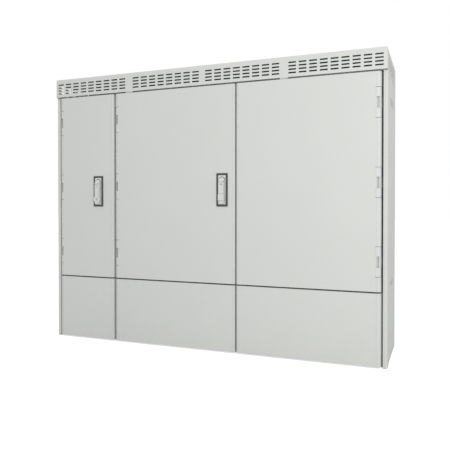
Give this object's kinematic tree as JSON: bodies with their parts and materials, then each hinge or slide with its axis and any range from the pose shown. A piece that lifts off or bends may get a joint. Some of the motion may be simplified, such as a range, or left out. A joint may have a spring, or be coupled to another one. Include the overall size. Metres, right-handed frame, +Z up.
{
  "type": "roadside utility cabinet",
  "caption": "Free-standing outdoor street cabinet of folded sheet: narrow bay and double-door bay over a plinth, vented roof band, swing handles.",
  "frame": {"origin": "centre of the footprint on the ground, handles included", "axes": "+X to the right seen from the doors, +Y from the doors to the rear, +Z up"},
  "size_m": [2, 0.5206, 1.6],
  "materials": {
    "cabinet_paint": "light grey powder coat with a fine texture, satin",
    "frame_paint": "light grey powder coat, satin",
    "hinge_cast": "die casting coated in the cabinet colour",
    "handle_cast": "die casting with a smooth light grey coat",
    "zinc_steel": "galvanised steel",
    "dark_plastic": "moulded dark grey plastic",
    "black_plastic": "moulded black plastic",
    "black_rubber": "foamed black rubber",
    "brass": "turned brass",
    "copper": "plain copper bar"
  },
  "bodies": {
    "cabinet": {"base_rails": "zinc_steel", "plinth_posts": "cabinet_paint", "plinth_panel_left": "cabinet_paint", "plinth_panel_centre": "cabinet_paint", "plinth_panel_right": "cabinet_paint", "plinth_panels_side": "cabinet_paint", "plinth_panel_rear": "cabinet_paint", "floor_plate": "zinc_steel", "cable_glands": "black_plastic", "post_front_left": "cabinet_paint", "post_front_right": "cabinet_paint", "posts_rear": "cabinet_paint", "mullion": "frame_paint", "sill_rail": "frame_paint", "lintel_rail": "frame_paint", "side_panel_left": "cabinet_paint", "side_panel_right": "cabinet_paint", "rear_panel": "cabinet_paint", "partition": "zinc_steel", "ceiling_plate": "zinc_steel", "roof_cap": "cabinet_paint", "roof_lugs": "cabinet_paint", "roof_bolts": "zinc_steel", "rack_rails": "zinc_steel", "mounting_plate": "zinc_steel", "earth_bar": "copper", "keepers": "zinc_steel", "frame_hinges": "hinge_cast", "hinge_pins": "zinc_steel"},
    "door_left": {"door_left_skin": "cabinet_paint", "door_left_stiffeners": "zinc_steel", "door_left_seal": "black_rubber", "door_left_hinges": "hinge_cast", "surround_left": "dark_plastic", "handle_base_left": "handle_cast"},
    "door_centre": {"door_centre_skin": "cabinet_paint", "door_centre_stiffeners": "zinc_steel", "door_centre_seal": "black_rubber", "door_centre_hinges": "hinge_cast", "surround_centre": "dark_plastic", "handle_base_centre": "handle_cast"},
    "door_right": {"door_right_skin": "cabinet_paint", "door_right_stiffeners": "zinc_steel", "door_right_seal": "black_rubber", "door_right_hinges": "hinge_cast", "bolt_guides": "zinc_steel"},
    "handle_left": {"spindle_left": "handle_cast"},
    "lever_left": {"lever_left": "handle_cast"},
    "plug_left": {"lock_plug_left": "brass"},
    "rod_upper_left": {"rod_upper_left": "zinc_steel"},
    "rod_lower_left": {"rod_lower_left": "zinc_steel"},
    "handle_centre": {"spindle_centre": "handle_cast"},
    "lever_centre": {"lever_centre": "handle_cast"},
    "plug_centre": {"lock_plug_centre": "brass"},
    "rod_upper_centre": {"rod_upper_centre": "zinc_steel"},
    "rod_lower_centre": {"rod_lower_centre": "zinc_steel"},
    "cap_left": {"lock_cap_left": "handle_cast"},
    "cover_centre": {"lock_cover_centre": "handle_cast"},
    "bolt_upper": {"bolt_upper": "zinc_steel"},
    "bolt_lower": {"bolt_lower": "zinc_steel"}
  },
  "joints": [
    {"name": "door_left_hinge", "type": "hinge", "parent": "cabinet", "child": "door_left", "pos_m": [-0.951, -0.2177, 0.93], "axis": [0, 0, -1], "range_deg": [0, 110]},
    {"name": "door_centre_hinge", "type": "hinge", "parent": "cabinet", "child": "door_centre", "pos_m": [-0.553, -0.2177, 0.93], "axis": [0, 0, -1], "range_deg": [0, 110]},
    {"name": "door_right_hinge", "type": "hinge", "parent": "cabinet", "child": "door_right", "pos_m": [0.951, -0.2177, 0.93], "axis": [0, 0, 1], "range_deg": [0, 110]},
    {"name": "handle_left_turn", "type": "hinge", "parent": "door_left", "child": "handle_left", "pos_m": [-0.687, -0.258, 0.957], "axis": [0, 1, 0], "range_deg": [0, 90]},
    {"name": "lever_left_swing", "type": "hinge", "parent": "handle_left", "child": "lever_left", "pos_m": [-0.687, -0.25, 0.938], "axis": [-1, 0, 0], "range_deg": [0, 40]},
    {"name": "lock_left_turn", "type": "hinge", "parent": "lever_left", "child": "plug_left", "pos_m": [-0.687, -0.258, 0.854], "axis": [0, 1, 0], "range_deg": [0, 90]},
    {"name": "rod_upper_left_slide", "type": "slide", "parent": "door_left", "child": "rod_upper_left", "axis": [0, 0, 1], "range_m": [-0.0181, 0]},
    {"name": "rod_lower_left_slide", "type": "slide", "parent": "door_left", "child": "rod_lower_left", "axis": [0, 0, 1], "range_m": [0, 0.0181]},
    {"name": "handle_centre_turn", "type": "hinge", "parent": "door_centre", "child": "handle_centre", "pos_m": [0.121, -0.258, 0.957], "axis": [0, 1, 0], "range_deg": [0, 90]},
    {"name": "lever_centre_swing", "type": "hinge", "parent": "handle_centre", "child": "lever_centre", "pos_m": [0.121, -0.25, 0.938], "axis": [-1, 0, 0], "range_deg": [0, 40]},
    {"name": "lock_centre_turn", "type": "hinge", "parent": "lever_centre", "child": "plug_centre", "pos_m": [0.121, -0.258, 0.861], "axis": [0, 1, 0], "range_deg": [0, 90]},
    {"name": "rod_upper_centre_slide", "type": "slide", "parent": "door_centre", "child": "rod_upper_centre", "axis": [0, 0, 1], "range_m": [-0.0181, 0]},
    {"name": "rod_lower_centre_slide", "type": "slide", "parent": "door_centre", "child": "rod_lower_centre", "axis": [0, 0, 1], "range_m": [0, 0.0181]},
    {"name": "cap_left_swing", "type": "hinge", "parent": "lever_left", "child": "cap_left", "pos_m": [-0.687, -0.258, 0.868], "axis": [0, 1, 0], "range_deg": [0, 90]},
    {"name": "cover_centre_slide", "type": "slide", "parent": "lever_centre", "child": "cover_centre", "axis": [0, 0, 1], "range_m": [0, 0.03]},
    {"name": "bolt_upper_slide", "type": "slide", "parent": "door_right", "child": "bolt_upper", "axis": [0, 0, 1], "range_m": [-0.02, 0]},
    {"name": "bolt_lower_slide", "type": "slide", "parent": "door_right", "child": "bolt_lower", "axis": [0, 0, 1], "range_m": [0, 0.02]}
  ],
  "couplings": [
    {"joint": "rod_upper_left_slide", "follows": "handle_left_turn", "m_per_rad": -0.011459},
    {"joint": "rod_lower_left_slide", "follows": "handle_left_turn", "m_per_rad": 0.011459},
    {"joint": "rod_upper_centre_slide", "follows": "handle_centre_turn", "m_per_rad": -0.011459},
    {"joint": "rod_lower_centre_slide", "follows": "handle_centre_turn", "m_per_rad": 0.011459}
  ]
}
